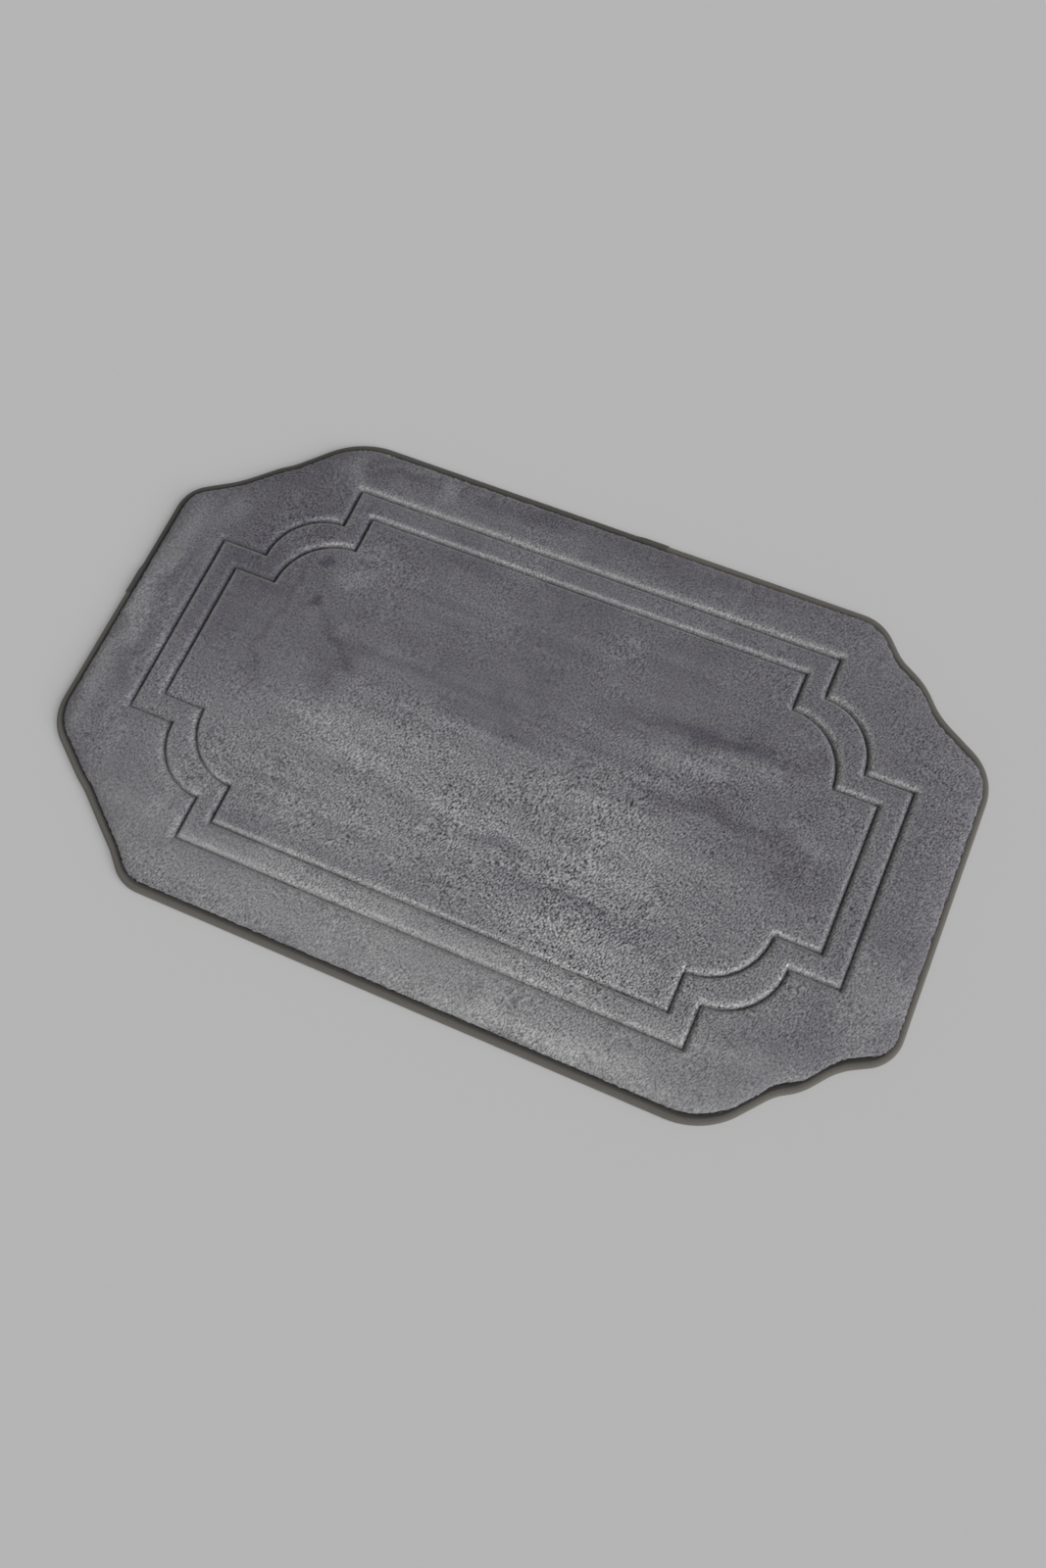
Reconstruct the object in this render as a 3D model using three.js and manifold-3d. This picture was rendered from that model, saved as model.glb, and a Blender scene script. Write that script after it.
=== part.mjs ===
// A plush memory-foam bath mat with an embossed double frame and a bound edge.
// Units are millimetres. The mat lies flat, +X along its length, +Y towards its back side and
// +Z up. The origin is the middle of the mat on the floor.
import * as THREE from "three";
import { mergeVertices } from "three/addons/utils/BufferGeometryUtils.js";
import Module from "manifold-3d";

const wasm = await Module();
wasm.setup();

// ---------- driving dimensions ----------

const LENGTH = 800;
const WIDTH = 487;

// Each corner of the outline is cut off by a wavy diagonal edge between two round shoulders.
// A corner's points are [inset from the mat's end, inset from its long side, radius of the arc
// that rounds the point], from the long side to the end. The mat is cut and bound by hand, so
// no two corners are quite alike.
const BACK_RIGHT = [
  [137.5, 2, 42],
  [111, 31.5, 44],
  [83.5, 47, 76],
  [63.5, 71, 76],
  [2, 106.5, 50],
];
const BACK_LEFT = [
  [136, 0, 80],
  [88, 49, 60],
  [76.5, 57, 70],
  [47, 84.5, 110],
  [1.5, 112.5, 34],
];
const FRONT_LEFT = [
  [138.5, 0, 40],
  [114.5, 24, 44],
  [65.5, 64, 60],
  [52, 73, 60],
  [0, 114, 50],
];
const FRONT_RIGHT = [
  [121, 1, 70],
  [79, 52.5, 46],
  [61.5, 62.5, 55],
  [40, 90.5, 58],
  [0, 112.5, 36],
];

// The embossed frame is two closed lines. Each is a rectangle, set in from the mat's ends and
// long sides, whose corners are stepped in, with a quarter circle bulging out in each step.
const OUTER_LINE = { fromEnd: 63, fromSide: 56, stepX: 99.5, stepY: 95, arcRadius: 55 };
const INNER_LINE = { fromEnd: 87, fromSide: 80, stepX: 98, stepY: 93.5, arcRadius: 57 };
const FRAME_SHIFT = [2, 1]; // the frame is pressed a little off the middle of the mat
const LINE_FLOOR = 1.4; // width of the pressed floor of a line
const LINE_MOUTH = 10; // width of a line where it meets the pile
const LINE_DEPTH = 6;

// The layers away from the edge.
const DOT_HEIGHT = 1;
const BACKING_THICKNESS = 0.6;
const FOAM_THICKNESS = 9.6;
const COVER_THICKNESS = 3.9;
const PRESSED_COVER = 1.5; // the cover under the floor of an embossed line
const PRESSED_SIDE = 1.6; // the cover beside the floor of an embossed line
const GAP = 0.3; // air kept between neighbouring pieces

// The edge: the layers are squeezed thin and wrapped in folded tape.
const TAPE_WIDTH = 9; // from the mat's outer edge to the tape's inner edges
const TAPE_THICKNESS = 0.6;
const TAPE_BOTTOM = 1.6;
const TAPE_TOP = 8.1;
const SQUEEZED_BACKING = 0.6;
const SQUEEZED_FOAM = 1.4;
const SETTLE = 4; // over which the underside drops from the edge to its flat level
const THREAD_DIAMETER = 0.4;
const THREAD_INSET = 7.6; // from the mat's outer edge to the stitch line

// The roll of the pile down to the tape, as [inset, share of the climb from edge to top].
const EDGE_ROLL = [
  [TAPE_WIDTH + GAP, 0],
  [TAPE_WIDTH + 1, 0.32],
  [13.5, 0.62],
  [19, 0.86],
  [29, 1],
];

// Two lengths of tape meet on the left and back sides. The short one goes round the back left
// corner and laps over the long one at both ends: its ends are near these points.
const LEFT_LAP = [-399, 12];
const BACK_LAP = [56, 242.5];
const LAP_LENGTH = 24;
const LAP_RAMP = 8; // over which one tape climbs onto the other
const LAP_TUCK = 4; // from the end of the covered tape to the start of the climb

// The field of dots stops short of the tape and leaves room for the care label.
const DOTS_INSET = 13;
const LABEL = { width: 28, length: 40, thickness: 0.3, x: -190 };
const LABEL_MARGIN = 3;

const ARC_STEP = THREE.MathUtils.degToRad(11);
const FOLD_STEPS = 6; // facets round the fold of the tape

// ---------- heights and edges that follow from them ----------

const backingBottom = DOT_HEIGHT + GAP;
const backingTop = backingBottom + BACKING_THICKNESS;
const foamBottom = backingTop + GAP;
const foamTop = foamBottom + FOAM_THICKNESS;
const coverBottom = foamTop + GAP;
const coverTop = coverBottom + COVER_THICKNESS;
const lineFloor = coverTop - LINE_DEPTH;
const lineSlope = (LINE_MOUTH - LINE_FLOOR) / LINE_DEPTH;

const hemBackingBottom = TAPE_BOTTOM + TAPE_THICKNESS + GAP;
const hemBackingTop = hemBackingBottom + SQUEEZED_BACKING;
const hemFoamBottom = hemBackingTop + GAP;
const hemFoamTop = hemFoamBottom + SQUEEZED_FOAM;
const hemCoverBottom = hemFoamTop + GAP;
const hemCoverTop = TAPE_TOP - TAPE_THICKNESS - GAP;

const foldMiddle = (TAPE_TOP + TAPE_BOTTOM) / 2;
const foldRadius = (TAPE_TOP - TAPE_BOTTOM) / 2;
const tapeInnerEdge = -WIDTH / 2 + TAPE_WIDTH; // on the front side, where the label is

// ---------- geometry helpers ----------

// Samples an arc about a centre, from one angle to another, both ends included.
function arcPoints(centre, radius, from, to, steps) {
  const points = [];
  for (let i = 0; i <= steps; i++) {
    const angle = THREE.MathUtils.lerp(from, to, i / steps);
    const spoke = new THREE.Vector2(Math.cos(angle), Math.sin(angle));
    points.push(spoke.multiplyScalar(radius).add(centre));
  }
  return points;
}

function arcSteps(turn) {
  return Math.max(2, Math.ceil(Math.abs(turn) / ARC_STEP));
}

// Rounds the vertices of a closed polygon, each with its own radius.
function roundedLoop(vertices) {
  const count = vertices.length;
  return vertices.flatMap(({ at, radius }, i) => {
    const back = vertices[(i + count - 1) % count].at.clone().sub(at).normalize();
    const ahead = vertices[(i + 1) % count].at.clone().sub(at).normalize();
    const halfAngle = Math.acos(back.dot(ahead)) / 2;
    const inward = back.clone().add(ahead).normalize();
    const centre = inward.multiplyScalar(radius / Math.sin(halfAngle)).add(at);
    const tangentLength = radius / Math.tan(halfAngle);
    const first = back.multiplyScalar(tangentLength).add(at).sub(centre).angle();
    const last = ahead.multiplyScalar(tangentLength).add(at).sub(centre).angle();
    const turn = THREE.MathUtils.euclideanModulo(last - first + Math.PI, 2 * Math.PI) - Math.PI;
    return arcPoints(centre, radius, first, first + turn, arcSteps(turn));
  });
}

// Turns a closed anticlockwise loop of points into stations: each point, its distance along
// the loop, and the vector that moves it outwards by 1 mm square to the edges beside it.
function stationsOf(points) {
  const count = points.length;
  const edgeNormal = (a, b) => new THREE.Vector2(b.y - a.y, a.x - b.x).normalize();
  let distance = 0;
  return points.map((at, i) => {
    const previous = points[(i + count - 1) % count];
    const before = edgeNormal(previous, at);
    const after = edgeNormal(at, points[(i + 1) % count]);
    const out = before.clone().add(after).divideScalar(1 + before.dot(after));
    distance += i > 0 ? at.distanceTo(previous) : 0;
    return { at, out, distance };
  });
}

// The point at a station, moved inwards from the loop, at a height.
function pointAt({ at, out }, inset, height) {
  return new THREE.Vector3(at.x - out.x * inset, at.y - out.y * inset, height);
}

function signedVolume(points, faces) {
  const cross = new THREE.Vector3();
  return faces.reduce(
    (sum, [a, b, c]) => sum + points[a].dot(cross.crossVectors(points[b], points[c])) / 6,
    0,
  );
}

// A closed solid through rows of points, each row a closed loop of the same number of points.
// With no contours the rows close on themselves, as in a ring. Otherwise the first and last
// rows are filled in, following the two flat contours given.
function sweptSolid(rows, contours) {
  const width = rows[0].length;
  const bands = contours ? rows.length - 1 : rows.length;
  const faces = [];
  for (let row = 0; row < bands; row++) {
    const here = row * width;
    const next = ((row + 1) % rows.length) * width;
    for (let i = 0; i < width; i++) {
      const j = (i + 1) % width;
      faces.push([here + i, here + j, next + j], [here + i, next + j, next + i]);
    }
  }
  if (contours) {
    const [first, last] = contours.map((contour) => THREE.ShapeUtils.triangulateShape(contour, []));
    faces.push(...first.map(([a, b, c]) => [c, b, a]));
    faces.push(...last.map((face) => face.map((corner) => corner + bands * width)));
  }
  const points = rows.flat();
  const facesOut = signedVolume(points, faces) > 0;
  const geometry = new THREE.BufferGeometry().setFromPoints(points);
  geometry.setIndex(faces.flatMap(([a, b, c]) => (facesOut ? [a, b, c] : [a, c, b])));
  return geometry;
}

// A layer of the mat: rings of the outline at [inset, height], from its underside round its
// rim to its top, with both faces filled in.
function layerSolid(stations, profile) {
  const rings = profile.map(([inset, height]) => stations.map((s) => pointAt(s, inset, height)));
  const flat = (ring) => ring.map(({ x, y }) => new THREE.Vector2(x, y));
  return sweptSolid(rings, [flat(rings[0]), flat(rings[rings.length - 1])]);
}

function toManifold(geometry) {
  const merged = mergeVertices(geometry);
  const vertProperties = merged.attributes.position.array;
  const triVerts = new Uint32Array(merged.index.array);
  return new wasm.Manifold(new wasm.Mesh({ numProp: 3, vertProperties, triVerts }));
}

function toGeometry(manifold) {
  const { numProp, vertProperties, triVerts } = manifold.getMesh();
  const geometry = new THREE.BufferGeometry();
  geometry.setAttribute("position", new THREE.BufferAttribute(vertProperties, numProp));
  geometry.setIndex(new THREE.BufferAttribute(triVerts, 1));
  return geometry;
}

// ---------- the loops that the mat is built on ----------

// The outline, anticlockwise from the back end of the right side.
function outlinePoints() {
  const corner = (points, sideX, sideY) => {
    const placed = points.map(([fromEnd, fromSide, radius]) => ({
      at: new THREE.Vector2(sideX * (LENGTH / 2 - fromEnd), sideY * (WIDTH / 2 - fromSide)),
      radius,
    }));
    return sideX === sideY ? placed.reverse() : placed;
  };
  return roundedLoop([
    ...corner(BACK_RIGHT, 1, 1),
    ...corner(BACK_LEFT, -1, 1),
    ...corner(FRONT_LEFT, -1, -1),
    ...corner(FRONT_RIGHT, 1, -1),
  ]);
}

// One embossed line, anticlockwise.
function linePoints({ fromEnd, fromSide, stepX, stepY, arcRadius }) {
  const halfLength = LENGTH / 2 - fromEnd;
  const halfWidth = WIDTH / 2 - fromSide;
  const arcMiddle = new THREE.Vector2(halfLength - stepX, halfWidth - stepY);
  const quarter = [
    new THREE.Vector2(halfLength, arcMiddle.y),
    ...arcPoints(arcMiddle, arcRadius, 0, Math.PI / 2, arcSteps(Math.PI / 2)),
    new THREE.Vector2(arcMiddle.x, halfWidth),
  ];
  const mirrored = (sideX, sideY) => {
    const points = quarter.map(({ x, y }) => new THREE.Vector2(sideX * x, sideY * y));
    return sideX === sideY ? points : points.reverse();
  };
  const shift = new THREE.Vector2(...FRAME_SHIFT);
  const loop = [...mirrored(1, 1), ...mirrored(-1, 1), ...mirrored(-1, -1), ...mirrored(1, -1)];
  return loop.map((point) => point.add(shift));
}

const outline = stationsOf(outlinePoints());
const embossedLines = [OUTER_LINE, INNER_LINE].map((line) => stationsOf(linePoints(line)));

// ---------- the layers ----------

// The inset at which a squeezed layer meets the round inside of the tape's fold.
function rimInset(height) {
  const reach = foldRadius - TAPE_THICKNESS - GAP;
  const fromMiddle = THREE.MathUtils.clamp(height - foldMiddle, -reach, reach);
  return foldRadius - Math.sqrt(reach ** 2 - fromMiddle ** 2);
}

// The rim of a squeezed layer, from its underside to its top.
function rim(bottom, top) {
  return [bottom, (bottom + top) / 2, top].map((height) => [rimInset(height), height]);
}

function rolledEdge(edgeHeight, flatHeight, inward = 0) {
  return EDGE_ROLL.map(([inset, share]) => [
    inset + inward,
    THREE.MathUtils.lerp(edgeHeight, flatHeight, share),
  ]);
}

// A bar along an embossed line, with the line's sloping sides, from its floor up to a height.
function lineBar(stations, sideAllowance, floorHeight, topHeight) {
  const halfFloor = LINE_FLOOR / 2 + sideAllowance;
  const halfTop = halfFloor + (lineSlope * (topHeight - floorHeight)) / 2;
  const section = [
    [-halfTop, topHeight],
    [-halfFloor, floorHeight],
    [halfFloor, floorHeight],
    [halfTop, topHeight],
  ];
  const rows = stations.map((s) => section.map(([inset, height]) => pointAt(s, inset, height)));
  return toManifold(sweptSolid(rows));
}

function plushCover() {
  const profile = [
    ...rolledEdge(hemCoverBottom, coverBottom).reverse(),
    ...rim(hemCoverBottom, hemCoverTop),
    ...rolledEdge(hemCoverTop, coverTop),
  ];
  let cover = toManifold(layerSolid(outline, profile));
  for (const line of embossedLines) {
    const ribFloor = lineFloor - PRESSED_COVER;
    cover = cover.add(lineBar(line, PRESSED_SIDE, ribFloor, coverBottom + GAP));
    cover = cover.subtract(lineBar(line, 0, lineFloor, coverTop + GAP));
  }
  return toGeometry(cover);
}

function memoryFoamCore() {
  const profile = [
    [TAPE_WIDTH + SETTLE, foamBottom],
    [TAPE_WIDTH, hemFoamBottom],
    ...rim(hemFoamBottom, hemFoamTop),
    ...rolledEdge(hemFoamTop, foamTop, GAP),
  ];
  let foam = toManifold(layerSolid(outline, profile));
  for (const line of embossedLines) {
    const grooveFloor = lineFloor - PRESSED_COVER - GAP;
    foam = foam.subtract(lineBar(line, PRESSED_SIDE + GAP, grooveFloor, foamTop + GAP));
  }
  return toGeometry(foam);
}

function backingFabric() {
  return layerSolid(outline, [
    [TAPE_WIDTH + SETTLE, backingBottom],
    [TAPE_WIDTH, hemBackingBottom],
    ...rim(hemBackingBottom, hemBackingTop),
    [TAPE_WIDTH, hemBackingTop],
    [TAPE_WIDTH + SETTLE, backingTop],
  ]);
}

// The grip dots are small droplets of PVC, too many to draw, so this is one pad of their height.
function gripDotLayer() {
  const flatProfile = [
    [DOTS_INSET, 0],
    [DOTS_INSET, DOT_HEIGHT],
  ];
  const notchWidth = LABEL.width + 2 * LABEL_MARGIN;
  const notchLength = 2 * (LABEL.length + LABEL_MARGIN);
  const notch = new THREE.BoxGeometry(notchWidth, notchLength, 4 * DOT_HEIGHT);
  notch.deleteAttribute("normal");
  notch.deleteAttribute("uv");
  notch.translate(LABEL.x, tapeInnerEdge, 0);
  return toGeometry(toManifold(layerSolid(outline, flatProfile)).subtract(toManifold(notch)));
}

// ---------- the bound edge ----------

// The distance along the outline of the point nearest a place.
function distanceNear([x, y]) {
  const place = new THREE.Vector2(x, y);
  const onEdge = outline.map((from, i) => {
    const to = outline[(i + 1) % outline.length];
    const along = to.at.clone().sub(from.at);
    const share = place.clone().sub(from.at).dot(along) / along.lengthSq();
    const nearest = from.at.clone().addScaledVector(along, THREE.MathUtils.clamp(share, 0, 1));
    return { away: nearest.distanceTo(place), distance: from.distance + nearest.distanceTo(from.at) };
  });
  return onEdge.reduce((best, other) => (other.away < best.away ? other : best)).distance;
}

// The stations of a loop with a new one at each marked distance.
function withMarks(stations, marks) {
  const added = marks.map((distance) => {
    const i = stations.findLastIndex((s) => s.distance < distance);
    const from = stations[i];
    const to = stations[(i + 1) % stations.length];
    const share = (distance - from.distance) / from.at.distanceTo(to.at);
    return { at: from.at.clone().lerp(to.at, share), out: from.out.clone().lerp(to.out, share), distance };
  });
  return [...stations, ...added].sort((a, b) => a.distance - b.distance);
}

const backLap = distanceNear(BACK_LAP);
const leftLap = distanceNear(LEFT_LAP);
const coveredEnd = LAP_LENGTH - LAP_TUCK;
const lapMarks = [-LAP_RAMP, 0, coveredEnd, LAP_LENGTH, LAP_LENGTH + LAP_RAMP];
const edge = withMarks(
  outline,
  lapMarks.flatMap((inwards) => [backLap + inwards, leftLap - inwards]),
);

// How far the upper tape, or the thread over it, stands off at a distance along the outline:
// by a tape's thickness over each lap, easing to nothing on either side of it.
function lapLift(distance) {
  const fromLapEnd = Math.min(distance - backLap, leftLap - distance);
  const outside = Math.max(-fromLapEnd, fromLapEnd - LAP_LENGTH, 0);
  return (TAPE_THICKNESS + GAP) * Math.max(1 - outside / LAP_RAMP, 0);
}

// The tape's section as [inset, height], a folded strip open towards the mat, with its whole
// skin moved outwards by the lift.
function tapeSection(lift) {
  const middle = new THREE.Vector2(foldRadius, foldMiddle);
  const skin = (radius) => {
    const fold = arcPoints(middle, radius, Math.PI / 2, (3 * Math.PI) / 2, FOLD_STEPS);
    const legEnds = [1, -1].map((side) => new THREE.Vector2(TAPE_WIDTH, foldMiddle + side * radius));
    return [legEnds[0], ...fold, legEnds[1]];
  };
  const outside = foldRadius + lift;
  return [...skin(outside), ...skin(outside - TAPE_THICKNESS).reverse()];
}

function tape(stations, liftAt) {
  const sections = stations.map(({ distance }) => tapeSection(liftAt(distance)));
  const rows = stations.map((s, i) => sections[i].map(({ x, y }) => pointAt(s, x, y)));
  return sweptSolid(rows, [sections[0], sections[sections.length - 1]]);
}

function shortTape() {
  const between = edge.filter(({ distance }) => distance >= backLap && distance <= leftLap);
  return tape(between, lapLift);
}

function longTape() {
  const fromLeft = edge.filter(({ distance }) => distance >= leftLap - coveredEnd);
  const toBack = edge.filter(({ distance }) => distance <= backLap + coveredEnd);
  return tape([...fromLeft, ...toBack], () => 0);
}

// A stitch line's thread as one closed loop, over the tape or under it.
function threadLoop(height, side) {
  const radius = THREAD_DIAMETER / 2;
  const rows = edge.map((s) => {
    const centre = new THREE.Vector2(THREAD_INSET, height + side * lapLift(s.distance));
    const section = arcPoints(centre, radius, Math.PI / 4, (7 * Math.PI) / 4, 3);
    return section.map(({ x, y }) => pointAt(s, x, y));
  });
  return sweptSolid(rows);
}

function careLabel() {
  const geometry = new THREE.BoxGeometry(LABEL.width, LABEL.length, LABEL.thickness);
  const middleY = tapeInnerEdge + GAP + LABEL.length / 2;
  return geometry.translate(LABEL.x, middleY, DOT_HEIGHT - LABEL.thickness / 2);
}

// ---------- the assembly ----------

const MATERIALS = {
  pile: { color: 0x77767a, roughness: 0.95, metalness: 0 },
  foam: { color: 0xd9d6cc, roughness: 0.9, metalness: 0 },
  backing: { color: 0x55555a, roughness: 0.9, metalness: 0 },
  dots: { color: 0x8b8b8e, roughness: 0.55, metalness: 0 },
  tape: { color: 0x57564f, roughness: 0.8, metalness: 0 },
  thread: { color: 0x44443f, roughness: 0.7, metalness: 0 },
  label: { color: 0xe9e8e3, roughness: 0.6, metalness: 0 },
};

const threadStandoff = GAP + THREAD_DIAMETER / 2;
const PIECES = [
  ["plush_cover", plushCover(), "pile"],
  ["memory_foam_core", memoryFoamCore(), "foam"],
  ["backing_fabric", backingFabric(), "backing"],
  ["grip_dot_layer", gripDotLayer(), "dots"],
  ["binding_tape_long", longTape(), "tape"],
  ["binding_tape_short", shortTape(), "tape"],
  ["needle_thread", threadLoop(TAPE_TOP + threadStandoff, 1), "thread"],
  ["bobbin_thread", threadLoop(TAPE_BOTTOM - threadStandoff, -1), "thread"],
  ["care_label", careLabel(), "label"],
];

const group = new THREE.Group();
for (const [name, geometry, material] of PIECES) {
  const mesh = new THREE.Mesh(geometry, new THREE.MeshStandardMaterial(MATERIALS[material]));
  geometry.computeVertexNormals();
  mesh.name = name;
  group.add(mesh);
}

export default group;
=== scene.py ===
"""The looks of a plush memory-foam bath mat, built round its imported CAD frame.

Drawing dimensions are in millimetres, as in the CAD source, and become metres when a mesh is made.
Plan positions are X along the mat and Y towards its back. An inset is a distance inwards from the
mat's outer edge.
"""
import math

import bpy
import numpy as np
from mathutils.geometry import delaunay_2d_cdt
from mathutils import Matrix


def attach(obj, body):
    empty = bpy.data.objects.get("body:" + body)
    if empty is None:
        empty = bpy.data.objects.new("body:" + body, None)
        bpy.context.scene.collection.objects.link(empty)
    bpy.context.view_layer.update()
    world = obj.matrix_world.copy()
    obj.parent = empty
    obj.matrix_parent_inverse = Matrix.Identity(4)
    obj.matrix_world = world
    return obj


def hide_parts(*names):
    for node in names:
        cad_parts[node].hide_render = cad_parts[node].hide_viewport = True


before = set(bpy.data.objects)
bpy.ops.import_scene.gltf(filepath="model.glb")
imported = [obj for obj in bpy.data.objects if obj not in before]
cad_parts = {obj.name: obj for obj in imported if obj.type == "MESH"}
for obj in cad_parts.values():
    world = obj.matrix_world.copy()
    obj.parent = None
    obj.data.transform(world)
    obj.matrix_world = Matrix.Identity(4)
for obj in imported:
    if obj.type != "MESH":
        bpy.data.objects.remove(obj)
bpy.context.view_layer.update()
BODY = "root"
MM = 0.001
LENGTH, WIDTH = 800.0, 487.0
RANDOM = np.random.default_rng(20)

# ---------- driving dimensions shared with the CAD source ----------

# The corners of the outline as [inset from the end, inset from the long side, arc radius].
BACK_RIGHT = [(137.5, 2, 42), (111, 31.5, 44), (83.5, 47, 76), (63.5, 71, 76), (2, 106.5, 50)]
BACK_LEFT = [(136, 0, 80), (88, 49, 60), (76.5, 57, 70), (47, 84.5, 110), (1.5, 112.5, 34)]
FRONT_LEFT = [(138.5, 0, 40), (114.5, 24, 44), (65.5, 64, 60), (52, 73, 60), (0, 114, 50)]
FRONT_RIGHT = [(121, 1, 70), (79, 52.5, 46), (61.5, 62.5, 55), (40, 90.5, 58), (0, 112.5, 36)]

# The embossed lines as [from the end, from the long side, step along X, step along Y, arc radius].
OUTER_LINE = (63, 56, 99.5, 95, 55)
INNER_LINE = (87, 80, 98, 93.5, 57)
FRAME_SHIFT = np.array([2.0, 1.0])  # from the middle of the mat to the middle of the lines
LINE_FLOOR_HEIGHT = 10.0
LINE_REACH = 6.4  # from the middle of a line to where its rounded walls meet the pile

BACKING_BOTTOM, BACKING_TOP = 1.3, 1.9
FOAM_BOTTOM, FOAM_TOP = 2.2, 11.8
COVER_BOTTOM, PILE_TOP = 12.1, 16.0
PRESSED_COVER = 1.5  # least thickness of the cover, under an embossed line
GAP = 0.3

TAPE_WIDTH, TAPE_THICKNESS = 9.0, 0.6
TAPE_CUT_WIDTH = 22.0  # before it is folded round the edge
FOLD_RADIUS, FOLD_HEIGHT = 3.25, 4.85  # of the fold's outer face, and of its middle
LEFT_LAP, BACK_LAP = (-399, 12), (56, 242.5)  # the ends of the short tape, in plan
LAP_LENGTH, LAP_RAMP, LAP_LIFT, LAP_TUCK = 24.0, 8.0, 0.9, 4.0
THREAD_RADIUS, THREAD_INSET = 0.24, 7.6
STITCH = 3.0
NEEDLE_DIP, THREAD_SWAY = 1.1, 0.12

# ---------- mesh density ----------

ARC_STEPS_PER_RADIAN = 14
QUARTER_ARC_STEPS = 22
EDGE_STEP = 2.0
TAPE_STEP = 1.3
# The plain grid inside each layer's rim, as (step, inset, jitter as a share of the step).
PILE_GRID, COVER_UNDERSIDE_GRID = (2.8, 18.6, 0.16), (9.0, 21.0, 0.0)
FOAM_GRID, FOAM_UNDERSIDE_GRID = (5.0, 21.0, 0.1), (12.0, 20.0, 0.0)
BACKING_GRID = (8.0, 17.0, 0.1)
# The rows of points beside the embossed lines, as (distances from the line, step along the row,
# distance from the line to the plain grid, least distance between points).
PILE_ROWS = ((0.6, 1.2, 2.0, 3.0, 4.4, 6.2), 1.7, 7.4, 0.5)
COVER_UNDERSIDE_ROWS = ((2.5, 6), 4, 9.0, 1.5)
FOAM_ROWS = ((1.5, 3, 5, 7), 3, 9.0, 1.0)


# ---------- plan geometry ----------

def arc(centre, radius, start, turn, steps):
    """Points on an arc, both ends included."""
    angles = start + turn * np.linspace(0, 1, steps + 1)
    return centre + radius * np.stack([np.cos(angles), np.sin(angles)], 1)


def unit(vectors):
    return vectors / np.linalg.norm(vectors, axis=-1, keepdims=True)


def rounded_polygon(corners):
    """A closed polygon's outline with each (x, y, radius) corner rounded."""
    points = []
    count = len(corners)
    for i, (x, y, radius) in enumerate(corners):
        at = np.array([x, y])
        back = unit(np.array(corners[i - 1][:2]) - at)
        ahead = unit(np.array(corners[(i + 1) % count][:2]) - at)
        half_angle = math.acos(float(back @ ahead)) / 2
        centre = at + unit(back + ahead) * radius / math.sin(half_angle)
        first = at + back * radius / math.tan(half_angle) - centre
        last = at + ahead * radius / math.tan(half_angle) - centre
        start = math.atan2(first[1], first[0])
        turn = (math.atan2(last[1], last[0]) - start + math.pi) % (2 * math.pi) - math.pi
        steps = max(3, int(abs(turn) * ARC_STEPS_PER_RADIAN))
        points.append(arc(centre, radius, start, turn, steps))
    return np.concatenate(points)


def mat_outline():
    """The mat's outer edge, anticlockwise from the back end of the right side."""
    def corner(points, side_x, side_y):
        placed = [
            (side_x * (LENGTH / 2 - end), side_y * (WIDTH / 2 - side), radius)
            for end, side, radius in points
        ]
        return placed[::-1] if side_x == side_y else placed
    return rounded_polygon(
        corner(BACK_RIGHT, 1, 1)
        + corner(BACK_LEFT, -1, 1)
        + corner(FRONT_LEFT, -1, -1)
        + corner(FRONT_RIGHT, 1, -1)
    )


def embossed_line(from_end, from_side, step_x, step_y, radius):
    """One embossed line, anticlockwise: a rectangle with a quarter circle in each corner."""
    half_length, half_width = LENGTH / 2 - from_end, WIDTH / 2 - from_side
    middle = np.array([half_length - step_x, half_width - step_y])
    quarter = np.concatenate([
        [[half_length, middle[1]]],
        arc(middle, radius, 0, math.pi / 2, QUARTER_ARC_STEPS),
        [[middle[0], half_width]],
    ])
    quarters = [quarter, quarter[::-1] * [-1, 1], quarter * [-1, -1], quarter[::-1] * [1, -1]]
    return np.concatenate(quarters) + FRAME_SHIFT


class Loop:
    """A closed line walked at an even step: its points, outward normals and distances."""

    def __init__(self, corners, step):
        closed = np.concatenate([corners, corners[:1]])
        reach = np.concatenate([[0], np.cumsum(np.linalg.norm(np.diff(closed, axis=0), axis=1))])
        self.length = reach[-1]
        self.count = int(round(self.length / step))
        self.distance = np.arange(self.count) * self.length / self.count
        self.points = np.stack(
            [np.interp(self.distance, reach, closed[:, axis]) for axis in (0, 1)], 1
        )
        along = np.roll(self.points, -1, 0) - np.roll(self.points, 1, 0)
        self.out = unit(np.stack([along[:, 1], -along[:, 0]], 1))

    def inwards(self, inset):
        return self.points - self.out * np.reshape(inset, (-1, 1))

    def nearest(self, place):
        """The distance along the loop of the point nearest a place."""
        return self.distance[np.argmin(np.linalg.norm(self.points - place, axis=1))]


def offset_from(points, corners):
    """The vector to each point from the nearest place on a closed line."""
    along = np.roll(corners, -1, 0) - corners
    length_squared = (along ** 2).sum(1)
    found = []
    for some in np.array_split(points, max(1, len(points) // 3000)):
        offset = some[:, None] - corners
        share = np.clip((offset * along).sum(2) / length_squared, 0, 1)
        gap = offset - share[..., None] * along
        nearest = (gap ** 2).sum(2).argmin(1)
        found.append(gap[np.arange(len(some)), nearest])
    return np.concatenate(found)


def distance_to(points, corners):
    """The distance from each point to a closed line."""
    return np.linalg.norm(offset_from(points, corners), axis=1)


OUTLINE = mat_outline()
LINES = [embossed_line(*OUTER_LINE), embossed_line(*INNER_LINE)]
EDGE = Loop(OUTLINE, EDGE_STEP)


def smooth(value, low, high):
    """An even rise from 0 at low to 1 at high."""
    share = np.clip((value - low) / (high - low), 0, 1)
    return share * share * (3 - 2 * share)


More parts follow.
